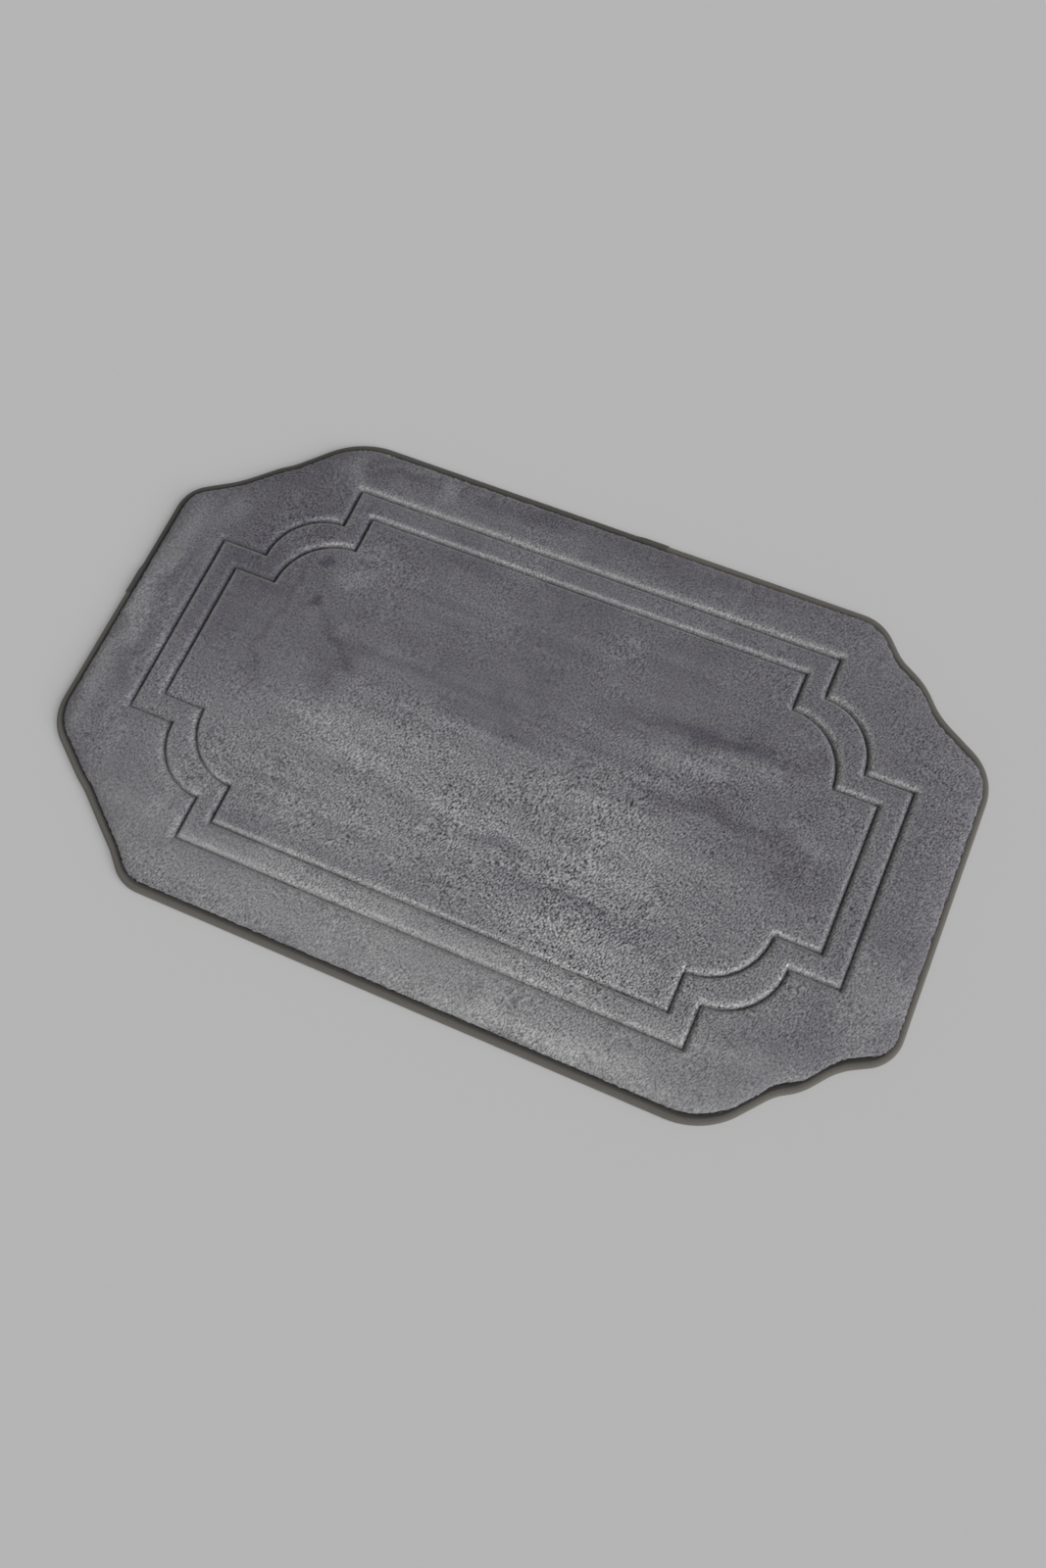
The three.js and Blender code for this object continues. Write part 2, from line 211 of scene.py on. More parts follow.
class Noise:
    """Smooth seeded noise over the plan, from -1 to 1, with lumps of a given length and width."""

    def __init__(self, length, width, seed):
        self.size = np.array([length, width], float)
        self.values = np.random.default_rng(seed).uniform(-1, 1, (256, 256))

    def __call__(self, points):
        place = points / self.size + 128
        cell = np.floor(place).astype(int)
        share = place - cell
        share = share * share * (3 - 2 * share)
        total = 0
        for step_x in (0, 1):
            for step_y in (0, 1):
                weight_x = share[:, 0] if step_x else 1 - share[:, 0]
                weight_y = share[:, 1] if step_y else 1 - share[:, 1]
                corner = self.values[(cell[:, 0] + step_x) % 256, (cell[:, 1] + step_y) % 256]
                total = total + weight_x * weight_y * corner
        return total


# ---------- the pile's surface ----------

# The pile's rolled edge as (inset, height, share), from the ditch beside the tape up to the top of
# the mat, where share is how much of the overhang over the tape each row takes.
PILE_ROLL = [
    (9.7, 6.3, 0), (9.55, 7.6, 0.1), (9.2, 9.0, 0.5), (8.9, 10.3, 1), (9.2, 11.5, 1),
    (10.2, 12.6, 0.8), (11.8, 13.55, 0.5), (14.0, 14.4, 0.2), (17.0, 15.0, 0),
]
OVERHANG = 3.0 * smooth(EDGE.out[:, 0], 0.5, 0.95)  # the pile is fuller along the right side
RAGGEDNESS = 0.3  # how unevenly the pile's edge hangs out
# The pile's height further in, as (inset, height), and its unevenness, as (noise, height).
PILE_SHOULDER = [(17.0, 15.0), (20.5, 15.4), (25, 15.75), (31, 15.95), (38, 16.0)]
UNDULATIONS = [
    (Noise(95, 95, 1), 0.35), (Noise(31, 31, 2), 0.2), (Noise(11, 11, 3), 0.1),
    (Noise(4.3, 4.3, 4), 0.07),
]


def line_offset(points):
    """The vector to each point from the nearest embossed line, and whether it is the outer one."""
    outer, inner = (offset_from(points, line) for line in LINES)
    nearer = np.linalg.norm(outer, axis=1) < np.linalg.norm(inner, axis=1)
    return np.where(nearer[:, None], outer, inner), nearer


def line_gap(points):
    """The distance from each point to the nearest embossed line."""
    return np.linalg.norm(line_offset(points)[0], axis=1)


def line_press(gap):
    """How deeply the pile is pressed, from 0 to 1, at a distance from an embossed line."""
    return np.clip(1 - np.maximum(gap - 0.4, 0) / LINE_REACH, 0, 1) ** 2.6


def pile_height(points, inset, gap):
    """The height of the pile by the distances to the edge and to the nearest embossed line."""
    insets, heights = zip(*PILE_SHOULDER)
    height = np.interp(inset, insets, heights)
    for noise, amount in UNDULATIONS:
        height = height + amount * noise(points) * smooth(inset, 12, 30)
    return height - (PILE_TOP - LINE_FLOOR_HEIGHT) * line_press(gap)


# ---------- mesh making ----------

def make_mesh(name, points, faces, attributes=None):
    """A smooth-shaded object from points in millimetres."""
    mesh = bpy.data.meshes.new(name)
    mesh.from_pydata((np.asarray(points, float) * MM).tolist(), [], faces)
    mesh.shade_smooth()
    for key, values in (attributes or {}).items():
        stored = mesh.attributes.new(key, "FLOAT", "POINT")
        stored.data.foreach_set("value", np.asarray(values, np.float32))
    piece = bpy.data.objects.new(name, mesh)
    bpy.context.scene.collection.objects.link(piece)
    return piece


def raised(plan, height):
    """Plan points lifted to one height, or each to its own."""
    return np.column_stack([plan, np.broadcast_to(height, len(plan))])


def strip_faces(rows, count, closed_rows=False, closed_count=True):
    """Quads over a grid of points, row by row. A closed direction joins its end to its start."""
    faces = []
    for row in range(rows if closed_rows else rows - 1):
        here, there = row * count, ((row + 1) % rows) * count
        for i in range(count if closed_count else count - 1):
            j = (i + 1) % count
            faces.append((here + i, here + j, there + j, there + i))
    return faces


def fill_faces(ring, inside, ring_start, inside_start, upwards):
    """Triangles that fill a ring of plan points and use every point inside it."""
    count = len(ring)
    edges = [(i, (i + 1) % count) for i in range(count)]
    plan = np.concatenate([ring, inside]).tolist()
    _, _, triangles, origins, _, _ = delaunay_2d_cdt(plan, edges, [], 1, 1e-5)
    firsts = [origin[0] for origin in origins]
    number = [ring_start + i if i < count else inside_start + i - count for i in firsts]
    order = (0, 1, 2) if upwards else (2, 1, 0)
    return [tuple(number[triangle[k]] for k in order) for triangle in triangles]


def layer(name, rim, top, bottom, attributes=None):
    """A closed layer of the mat.

    rim lists (inset, height) rows from the underside round to the top, and top and bottom are
    points inside the last and first of them. attributes makes a table of values for the points.
    """
    rows = np.concatenate([raised(EDGE.inwards(inset), height) for inset, height in rim])
    faces = strip_faces(len(rim), EDGE.count)
    last = (len(rim) - 1) * EDGE.count
    upper = fill_faces(rows[last:, :2], top[:, :2], last, len(rows), True)
    lower = fill_faces(rows[:EDGE.count, :2], bottom[:, :2], 0, len(rows) + len(top), False)
    points = np.concatenate([rows, top, bottom])
    values = attributes(points) if attributes else {}
    return make_mesh(name, points, faces + upper + lower, values)


def hex_grid(step, jitter):
    """Evenly spread plan points over the mat's box."""
    xs = np.arange(-LENGTH / 2, LENGTH / 2, step)
    ys = np.arange(-WIDTH / 2, WIDTH / 2, step * math.sqrt(3) / 2)
    grid = np.array([(x + step / 2 * (row % 2), y) for row, y in enumerate(ys) for x in xs])
    return grid + RANDOM.uniform(-jitter, jitter, grid.shape) * step


def inside_mat(points, inset):
    """The points at least that far inside the outline."""
    ends = np.roll(OUTLINE, -1, 0)
    crossings = np.zeros(len(points), int)
    for start, end in zip(OUTLINE, ends):
        if start[1] == end[1]:
            continue
        spans = (start[1] > points[:, 1]) != (end[1] > points[:, 1])
        slope = (end[0] - start[0]) / (end[1] - start[1])
        crossings += spans & (points[:, 0] < start[0] + slope * (points[:, 1] - start[1]))
    points = points[crossings % 2 == 1]
    return points[distance_to(points, OUTLINE) > inset]


def mat_grid(step, inset, jitter):
    """Evenly spread plan points inside the mat."""
    return inside_mat(hex_grid(step, jitter), inset)


def points_along(line, offsets, step):
    """Points in rows beside an embossed line, fanned round its outer corners."""
    loop = Loop(line, step)
    rows = [loop.points]
    for offset in offsets:
        for side in (-1, 1):
            rows.append(loop.points + side * offset * loop.out)
    beside = np.concatenate(rows)
    wanted = np.repeat([0.0] + [o for o in offsets for _ in (0, 1)], loop.count)
    beside = beside[np.abs(distance_to(beside, line) - wanted) < 0.2]
    turns = np.arange(0, 2 * math.pi, math.pi / 10)
    sharp = [line[i] for i in range(len(line)) if corner_turn(line, i) > 0.5]
    fans = []
    for corner in sharp:
        for offset in offsets:
            fan = corner + offset * np.stack([np.cos(turns), np.sin(turns)], 1)
            fans.append(fan[np.abs(distance_to(fan, line) - offset) < 0.05])
    return np.concatenate([beside, *fans, np.array(sharp)])


def corner_turn(line, i):
    """How sharply a line turns at one of its points, in radians."""
    before = line[i] - line[i - 1]
    after = line[(i + 1) % len(line)] - line[i]
    cosine = before @ after / np.linalg.norm(before) / np.linalg.norm(after)
    return math.acos(max(-1.0, min(1.0, float(cosine))))


def spaced(points, least):
    """The points without those in the same small cell as an earlier one."""
    cells = np.floor(points / least).astype(int)
    _, first = np.unique(cells, axis=0, return_index=True)
    return points[np.sort(first)]


def gridded(grid, rows):
    """A grid of plan points that gives way to rows of points beside the embossed lines."""
    offsets, step, clearance, least = rows
    beside = [points_along(line, offsets, step) for line in LINES]
    return spaced(np.concatenate([*beside, grid[line_gap(grid) > clearance]]), least)


def band(value, middle, width):
    """A soft band, 1 at its middle and falling to 0 on both sides."""
    return np.exp(-((value - middle) / width) ** 2)


# ---------- the nap: how the pile has been brushed, with painted sheen, light and shade ---

NAP_AND_LIGHT_BASE = -0.3
NAP_AND_LIGHT_RANGE = (-1.0, 2.0)
NAP_TURN = 66  # the way that the fibres lie, in degrees from X
# Soft strokes as (x, y, half length, half width, turn in degrees, tone) of brushed nap with painted
# sheen and painted light and shade: a tone below 0 is pile that leans away from the light, painted
# darker, and one above 0 is pile that leans towards it, painted lighter.
NAP_AND_LIGHT_STROKES = [
    # the middle, light in front and dark behind
    (0, -75, 245, 78, 0, 0.96), (-150, -35, 50, 25, 0, 0.2), (130, -60, 45, 20, 0, 0.3),
    (150, -140, 75, 20, 0, 0.7), (175, 52, 60, 14, 10, 0.6), (-65, 30, 60, 21, 0, -0.3),
    (-180, 25, 22, 28, 0, -0.3), (-185, 35, 36, 4, -45, -0.3), (-50, 150, 190, 18, 0, -0.2),
    # dark streaks across the middle
    (175, 80, 68, 7, 7, -0.45), (190, 10, 65, 6, 0, -0.45), (210, -6, 32, 4, 0, -0.3),
    (280, -10, 32, 20, 0, -0.35), (280, 20, 32, 6, 0, 0.4), (85, -85, 150, 6, 0, -0.45),
    (30, -85, 32, 6, 0, -0.35), (90, -110, 112, 6, -8, -0.45),
    # the corners and margins
    (-285, 135, 70, 80, 0, -0.45), (-60, 222, 290, 12, 0, -0.28), (-210, 220, 26, 16, 0, -0.3),
    (-70, 222, 24, 14, 0, -0.25), (-295, -10, 45, 100, 0, -0.15), (0, -176, 290, 13, 0, 0.9),
    (0, -214, 290, 26, 0, 1.15), (150, -226, 110, 10, 0, 0.9), (-290, -160, 60, 60, 0, 0.3),
    (275, -150, 60, 60, 0, 0.3), (367, -95, 22, 38, 0, 0.6), (-375, 0, 9, 110, 0, 0.68),
    (-345, 0, 3, 100, 0, 0.25), (-355, 0, 6, 110, 0, -0.1),
    # small swirls and marks left by a hand
    (-200, 97, 14, 8, 20, 0.45), (-160, 218, 8, 14, 0, 0.55), (-205, 226, 26, 5, 15, 0.5),
    (-250, 212, 11, 22, 15, 0.45), (-345, 110, 16, 30, -30, 0.3), (-385, 60, 5, 40, 0, 0.25),
    (-230, 110, 6, 5, 0, -0.7), (-222, 65, 6, 5, 0, -0.7), (-247, -45, 200, 2.2, 90, -0.3),
    (143, 200, 36, 1.8, 90, 0.3),
]
# Where the fibres stand apart and show as separate strokes, in the same form.
RUFFLE_BASE = 0.6
RUFFLE_STROKES = [
    (20, -75, 240, 85, 0, 0.5), (150, -135, 90, 40, 0, 0.35), (-65, 30, 60, 22, 0, -0.35),
    (230, 110, 80, 60, 0, 0.2), (-290, 150, 60, 50, 0, 0.1), (185, 40, 80, 26, 0, 0.35),
]
# Noises that bend the strokes' outlines, as (along X, along Y, millimetres).
RAGGED = [(Noise(26, 26, 11), Noise(26, 26, 12), 9), (Noise(8, 8, 13), Noise(8, 8, 14), 3)]
# Noises that add to the tone, as (noise, tone): blotches, lengthwise sweeps and the knit's ribs.
MOTTLE = [(Noise(60, 60, 21), 0.12), (Noise(22, 22, 22), 0.1), (Noise(9, 9, 23), 0.05)]
SWEEPS = [(Noise(110, 9, 24), 0.42), (Noise(50, 4, 25), 0.16)]
RIBS = [(Noise(2.6, 60, 26), 0.07), (Noise(60, 2.6, 27), 0.05)]


def stroked(points, strokes):
    """The sum of soft strokes at each point."""
    total = np.zeros(len(points))
    for x, y, half_length, half_width, turn, amount in strokes:
        offset = points - [x, y]
        cosine, sine = math.cos(math.radians(turn)), math.sin(math.radians(turn))
        along = (offset[:, 0] * cosine + offset[:, 1] * sine) / half_length
        across = (offset[:, 1] * cosine - offset[:, 0] * sine) / half_width
        total += amount * np.exp(-((along ** 2 + across ** 2) ** 1.5) * 0.7)
    return total


def swept(points):
    """How much a place has been brushed lengthwise: the middle, more in front than behind."""
    along, across = points.T
    inside = smooth(235 - np.abs(along), 0, 60) * smooth(160 - np.abs(across), 0, 20)
    return inside * (0.35 + 0.65 * smooth(-across, -60, 20))


def wall_light_and_shade(points, offset, outer):
    """Painted highlights and painted shade beside the embossed lines, by the way that each wall
    faces.
    """
    gap = np.linalg.norm(offset, axis=1)
    facing = -offset / np.maximum(gap, 0.01)[:, None]
    to_front, to_right = -facing[:, 1], facing[:, 0]
    wall = band(gap, 2.7, 1.4)
    back_wall_light = band(gap, 3.0, 1.6)
    left_wall_light = band(gap, 3.2, 2.2)
    shoulder_highlight = np.where(outer, 0.45, 0.1) * band(gap, 5.5, 2.2)
    # the painted highlights fade out towards the left end of the mat
    shaded = 1 - 0.85 * smooth(-points[:, 0], 225, 280)
    front_light = 2.1 * wall + shoulder_highlight
    front_light = front_light * shaded * np.maximum(to_front, 0) ** 1.5
    # painted light that lifts the walls facing away from the key light
    away_light = 0.5 * back_wall_light * np.maximum(-to_front, 0)
    away_light = away_light + 2.2 * left_wall_light * np.maximum(-to_right, 0)
    right_light = 0.2 * wall * np.maximum(to_right, 0) * smooth(points[:, 0], -100, 100)
    # painted shade in the creases of the lines at the left end
    left_crease_shade = -0.8 * band(gap, 0, 1.4) * np.abs(to_right) * shaded_side(points)
    return front_light + away_light + right_light + left_crease_shade


def shaded_side(points):
    """1 at the left end of the mat, 0 from its middle on: where the creases get painted shade."""
    return smooth(-points[:, 0], 0, 200)


def nap_and_light_tone(points, offset, outer):
    """The brushed pile's tone, with painted sheen, highlights and shade, from about -1 to 2."""
    warped = points.copy()
    for noise_x, noise_y, amount in RAGGED:
        warped = warped + amount * np.stack([noise_x(points), noise_y(points)], 1)
    tone = NAP_AND_LIGHT_BASE + stroked(warped, NAP_AND_LIGHT_STROKES) + wall_light_and_shade(points, offset, outer)
    tone += sum(amount * noise(points) for noise, amount in MOTTLE + RIBS)
    tone += swept(points) * sum(amount * noise(points) for noise, amount in SWEEPS)
    return np.clip(tone, *NAP_AND_LIGHT_RANGE)


def ruffle(points):
    """How far the fibres stand apart, from 0.1 to 1.3."""
    broad_noise = MOTTLE[0][0]
    loose = RUFFLE_BASE + stroked(points, RUFFLE_STROKES) + 0.2 * broad_noise(points)
    return np.clip(loose, 0.1, 1.3)


def pile_looks(points):
    """The values that the pile's material reads at each point."""
    plan = points[:, :2]
    offset, outer = line_offset(plan)
    return {
        # the pile's tone holds painted sheen, highlights and shade as well as the brushing
        "nap_and_light": nap_and_light_tone(plan, offset, outer),
        "ruffle": ruffle(plan),
        # crease and ditch drive painted shade: the crease partly pressed pile, the ditch painted
        # shade only
        "crease": line_press(np.linalg.norm(offset, axis=1)),
        "ditch": 1 - smooth(points[:, 2], 8.0, 11.2),
    }


# ---------- materials ----------

class Graph:
    """A material under construction."""

    def __init__(self, name):
        self.material = bpy.data.materials.new(name)
        self.material.use_nodes = True
        self.nodes = self.material.node_tree.nodes
        self.links = self.material.node_tree.links
        self.shader = self.nodes["Principled BSDF"]

    def put(self, socket, value):
        """Links a node's output to an input, or sets the input to a plain value."""
        if isinstance(value, bpy.types.NodeSocket):
            self.links.new(value, socket)
        else:
            socket.default_value = value

    def node(self, kind, values=None, output=0, **settings):
        """Adds a node with its settings and inputs, and gives one of its outputs."""
        made = self.nodes.new(kind)
        for key, value in settings.items():
            setattr(made, key, value)
        for key, value in (values or {}).items():
            self.put(made.inputs[key], value)
        return made.outputs[output]

    def place(self):
        """The object's own coordinates, in metres."""
        return self.node("ShaderNodeTexCoord", output="Object")

    def attribute(self, name):
        return self.node("ShaderNodeAttribute", output="Fac", attribute_name=name)

    def math(self, operation, first, second=0.0, third=0.0):
        return self.node("ShaderNodeMath", {0: first, 1: second, 2: third}, operation=operation)

    def scaled(self, vector, scale, turn=0.0):
        """The vector turned about Z by degrees, then scaled along each axis."""
        turned = self.node(
            "ShaderNodeMapping", {"Vector": vector, "Rotation": (0, 0, math.radians(turn))}
        )
        return self.node("ShaderNodeMapping", {"Vector": turned, "Scale": scale})

    def noise(self, vector, scale, detail=2.0, roughness=0.5, distortion=0.0):
        values = {"Vector": vector, "Scale": scale, "Detail": detail, "Roughness": roughness,
                  "Distortion": distortion}
        return self.node("ShaderNodeTexNoise", values)

    def span(self, value, low, high, to_low=0.0, to_high=1.0):
        """value taken from one span to another, and kept inside it."""
        values = {"Value": value, "From Min": low, "From Max": high, "To Min": to_low,
                  "To Max": to_high}
        return self.node("ShaderNodeMapRange", values)

    def blend(self, share, first, second, kind="MIX"):
        """Two colours mixed."""
        made = self.nodes.new("ShaderNodeMix")
        made.data_type = "RGBA"
        made.blend_type = kind
        for index, value in ((0, share), (6, first), (7, second)):
            self.put(made.inputs[index], value)
        return made.outputs[2]

    def bump(self, height, distance, strength=1.0):
        values = {"Height": height, "Distance": distance, "Strength": strength}
        return self.node("ShaderNodeBump", values)

    def surface(self, **values):
        """Sets the shader's inputs, named with _ for a space."""
        for key, value in values.items():
            self.put(self.shader.inputs[key.replace("_", " ")], value)
        return self.material


def rgb(red, green, blue):
    return (red, green, blue, 1.0)


def pile_material():
    """Brushed plush: short leaning fibres, lighter or darker as brushed and with painted sheen.

    Darker where pressed at the embossed lines, partly painted shade, and painted shade in the
    ditch.
    """
    graph = Graph("brushed_pile")
    place = graph.place()
    wander = graph.math("MULTIPLY", graph.noise(place, 26, 1.0), 0.004)
    leaning = graph.node("ShaderNodeVectorMath", {0: place, 1: wander}, operation="ADD")
    turned = graph.scaled(leaning, (440, 860, 500), -NAP_TURN)
    strokes = graph.noise(turned, 1.0, 1.0, 0.5, 0.1)
    speckle = graph.noise(place, 1300, 1.0)
    fibre = graph.math("MULTIPLY_ADD", speckle, 0.2, strokes)
    grain = graph.math("MULTIPLY", graph.math("SUBTRACT", fibre, 0.6), graph.attribute("ruffle"))
    shade = graph.math("MULTIPLY_ADD", grain, 4.1, 1.0)
    # darker at the bottom of the embossed lines: partly pressed pile, partly painted shade
    pressed = graph.span(graph.attribute("crease"), 0.8, 1.0, 1.0, 0.75)
    # painted shade in the ditch beside the tape
    ditch_shade = graph.span(graph.attribute("ditch"), 0.0, 1.0, 1.0, 0.12)
    shade = graph.math("MULTIPLY", graph.math("MULTIPLY", shade, pressed), ditch_shade)
    dark, pale = rgb(0.085, 0.08, 0.099), rgb(0.4, 0.4, 0.4)
    # the tone carries painted sheen, highlights and shade as well as the brushing
    nap_and_light_colour = graph.blend(graph.span(graph.attribute("nap_and_light"), *NAP_AND_LIGHT_RANGE), dark, pale)
    colour = graph.blend(1.0, nap_and_light_colour, shade, "MULTIPLY")
    return graph.surface(
        Base_Color=colour, Normal=graph.bump(fibre, 0.0004, 0.5), Roughness=0.92,
        Specular_IOR_Level=0.15, Sheen_Weight=0.35, Sheen_Roughness=0.45,
    )


def tape_material(name, colour):
    """Fine woven binding tape, with painted shade where it sinks to its seam."""
    graph = Graph(name)
    along = graph.node("ShaderNodeUVMap", uv_map="tape")
    warp = graph.node(
        "ShaderNodeTexWave", {"Vector": along, "Scale": 0.55, "Distortion": 0.6, "Detail": 1.0},
        bands_direction="X",
    )
    weft = graph.node(
        "ShaderNodeTexWave", {"Vector": along, "Scale": 0.42, "Distortion": 0.6, "Detail": 1.0},
        bands_direction="Y",
    )
    weave = graph.math("MULTIPLY", warp, weft)
    slub = graph.noise(graph.scaled(along, (0.35, 1.6, 1)), 1.0, 3.0, 0.6)
    across = graph.node("ShaderNodeSeparateXYZ", {"Vector": along}, output="Y")
    shade = graph.math("MULTIPLY_ADD", weave, 0.7, graph.math("MULTIPLY_ADD", slub, 0.5, 0.45))
    # painted shade along the upper leg as it sinks to the seam
    shade = graph.math("MULTIPLY", shade, graph.span(across, 1.0, 4.8, 0.4, 1.0))
    colour = graph.blend(1.0, colour, shade, "MULTIPLY")
    normal = graph.bump(graph.math("ADD", weave, graph.math("MULTIPLY", slub, 0.6)), 0.00022, 0.9)
    return graph.surface(
        Base_Color=colour, Normal=normal, Roughness=0.78, Specular_IOR_Level=0.3,
        Sheen_Weight=0.2, Sheen_Roughness=0.5,
    )


def thread_material():
    """Twisted polyester sewing thread."""
    graph = Graph("sewing_thread")
    twist = graph.node(
        "ShaderNodeTexWave", {"Vector": graph.scaled(graph.place(), (1, 1, 1), 35), "Scale": 900},
        bands_direction="DIAGONAL",
    )
    colour = graph.blend(twist, rgb(0.045, 0.045, 0.038), rgb(0.09, 0.088, 0.078))
    return graph.surface(Base_Color=colour, Normal=graph.bump(twist, 0.0001, 0.6), Roughness=0.6)


def foam_material():
    """Open-cell polyurethane foam."""
    graph = Graph("open_cell_foam")
    place = graph.place()
    cells = graph.node("ShaderNodeTexVoronoi", {"Vector": place, "Scale": 700})
    stain = graph.noise(place, 14, 3.0)
    colour = graph.blend(stain, rgb(0.74, 0.72, 0.65), rgb(0.6, 0.57, 0.47))
    colour = graph.blend(graph.span(cells, 0.0, 0.6, 0.35, 0.0), colour, rgb(0.32, 0.3, 0.24))
    return graph.surface(Base_Color=colour, Normal=graph.bump(cells, 0.0004, 0.8), Roughness=0.95)


def backing_material():
    """Coarse plain-woven backing fabric."""
    graph = Graph("backing_weave")
    place = graph.place()
    weave = [
        graph.node("ShaderNodeTexWave", {"Vector": place, "Scale": 230, "Distortion": 0.4},
               bands_direction=direction)
        for direction in ("X", "Y")
    ]
    threads = graph.math("MAXIMUM", *weave)
    fade = graph.noise(place, 18, 4.0)
    shade = graph.math("MULTIPLY_ADD", threads, 0.5, graph.math("MULTIPLY_ADD", fade, 0.3, 0.5))
    colour = graph.blend(1.0, rgb(0.1, 0.1, 0.11), shade, "MULTIPLY")
    return graph.surface(Base_Color=colour, Normal=graph.bump(threads, 0.0003, 0.8), Roughness=0.85)


def dot_material():
    """Soft PVC, a little dusty where it has been walked on."""
    graph = Graph("grip_dot_pvc")
    place = graph.place()
    dust = graph.noise(place, 60, 4.0, 0.6)
    colour = graph.blend(graph.span(dust, 0.35, 0.75), rgb(0.22, 0.22, 0.23), rgb(0.33, 0.33, 0.33))
    pits = graph.noise(place, 1500, 1.0)
    roughness = graph.span(dust, 0.3, 0.7, 0.42, 0.62)
    normal = graph.bump(pits, 0.00008, 0.5)
    return graph.surface(Base_Color=colour, Normal=normal, Roughness=roughness)


def label_material():
    """Woven satin ribbon, blank."""
    graph = Graph("satin_label")
    place = graph.place()
    ribs = graph.node("ShaderNodeTexWave", {"Vector": place, "Scale": 420}, bands_direction="Y")
    soft = graph.noise(place, 120, 3.0)
    colour = graph.blend(soft, rgb(0.84, 0.83, 0.79), rgb(0.72, 0.71, 0.67))
    return graph.surface(
        Base_Color=colour, Normal=graph.bump(ribs, 0.00008, 0.7), Roughness=0.45, Anisotropic=0.5
    )


# ---------- the layers ----------

# The rims of the layers as (inset, height) rows, from the underside round to the top.
COVER_RIM = [
    (17.0, 10.4), (12.3, 8.2), (10.2, 5.5), (8.6, 5.1), (3.4, 5.1), (1.6, 6.1), (3.4, 7.2),
    (6.0, 6.6), (8.9, 5.4),
]
FOAM_RIM = [
    (13.0, FOAM_BOTTOM), (TAPE_WIDTH, 3.4), (3.6, 3.4), (2.2, 4.1), (3.6, 4.8), (8.9, 4.7),
    (10.6, 5.0), (12.9, 7.6), (17.6, 10.1),
]
BACKING_RIM = [
    (13.0, BACKING_BOTTOM), (TAPE_WIDTH, 2.5), (3.6, 2.5), (3.2, 2.8), (3.6, 3.1),
    (TAPE_WIDTH, 3.1), (13.0, BACKING_TOP),
]
RIM_SLOPE_END = 29.0  # the inset at which the layers have risen to their full height


def finished(piece, material, slot, *nodes):
    """Gives a piece its material and its body, and hides the CAD parts it stands for."""
    piece.data.materials.append(material)
    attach(piece, BODY)
    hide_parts(*nodes)
    return piece


def risen(plan, rim_row, level):
    """Heights that rise from a row of a rim to the flat of the mat."""
    inset, height = rim_row
    return np.interp(distance_to(plan, OUTLINE), (inset, RIM_SLOPE_END), (height, level))


def pressed_height(plan):
    """The height that the embossed lines press the pile down to."""
    return PILE_TOP - (PILE_TOP - LINE_FLOOR_HEIGHT) * line_press(line_gap(plan))


def plush_cover():
    """The embossed, rolled pile and the knit that carries it."""
    overhang = OVERHANG + RANDOM.normal(0, RAGGEDNESS, EDGE.count)
    roll = ((inset - share * overhang, height) for inset, height, share in PILE_ROLL)
    plan = gridded(mat_grid(*PILE_GRID), PILE_ROWS)
    top = raised(plan, pile_height(plan, distance_to(plan, OUTLINE), line_gap(plan)))
    plan = gridded(mat_grid(*COVER_UNDERSIDE_GRID), COVER_UNDERSIDE_ROWS)
    sloped = risen(plan, COVER_RIM[0], COVER_BOTTOM)
    bottom = raised(plan, np.minimum(sloped, pressed_height(plan) - PRESSED_COVER))
    piece = layer("plush_cover_pile", [*COVER_RIM, *roll], top, bottom, pile_looks)
    return finished(piece, PILE_MATERIAL, "pile", "plush_cover")


def foam_core():
    """The foam sheet, which takes the print of the embossed lines."""
    plan = gridded(mat_grid(*FOAM_GRID), FOAM_ROWS)
    sloped = risen(plan, FOAM_RIM[-1], FOAM_TOP)
    top = raised(plan, np.minimum(sloped, pressed_height(plan) - PRESSED_COVER - GAP))
    bottom = raised(mat_grid(*FOAM_UNDERSIDE_GRID), FOAM_BOTTOM)
    piece = layer("foam_sheet", FOAM_RIM, top, bottom)
    return finished(piece, foam_material(), "foam", "memory_foam_core")


def backing():
    """The woven backing, squeezed up into the tape at its edge."""
    plan = mat_grid(*BACKING_GRID)
    ripple = Noise(24, 24, 31)(plan) * 0.06
    top, bottom = raised(plan, BACKING_TOP + ripple), raised(plan, BACKING_BOTTOM + ripple)
    piece = layer("woven_backing", BACKING_RIM, top, bottom)
    return finished(piece, backing_material(), "backing", "backing_fabric")


# ---------- the bound edge ----------

SECTION_LEG, SECTION_FOLD = 6, 13  # points along each leg of the tape's section and round its fold
TAPE_EDGE = Loop(OUTLINE, TAPE_STEP)
LAPS = [TAPE_EDGE.nearest(np.array(place)) for place in (BACK_LAP, LEFT_LAP)]
TAPE_SWELL = [(Noise(38, 38, 41), 0.14), (Noise(9, 9, 42), 0.09), (Noise(3.5, 3.5, 43), 0.04)]
PUCKER = 0.25  # how deeply each stitch pulls the tape in
TAPE_DIP = 1.7  # how far the upper leg sinks to its seam


def lap_lift(distance):
    """How far the upper tape, and the thread over it, stands off near a lap."""
    from_end = np.minimum(distance - LAPS[0], LAPS[1] - distance)
    outside = np.maximum(np.maximum(-from_end, from_end - LAP_LENGTH), 0)
    return LAP_LIFT * np.maximum(1 - outside / LAP_RAMP, 0)


def tape_sink(distance, inset, upper):
    """How far each stitch, and on the upper side the seam too, draws a leg of the tape in."""
    stitch = 0.65 + 0.35 * np.cos(2 * math.pi * distance / STITCH)
    pucker = PUCKER * stitch * band(inset, THREAD_INSET, 0.9)
    return pucker + TAPE_DIP * upper * smooth(inset, 4.5, TAPE_WIDTH)


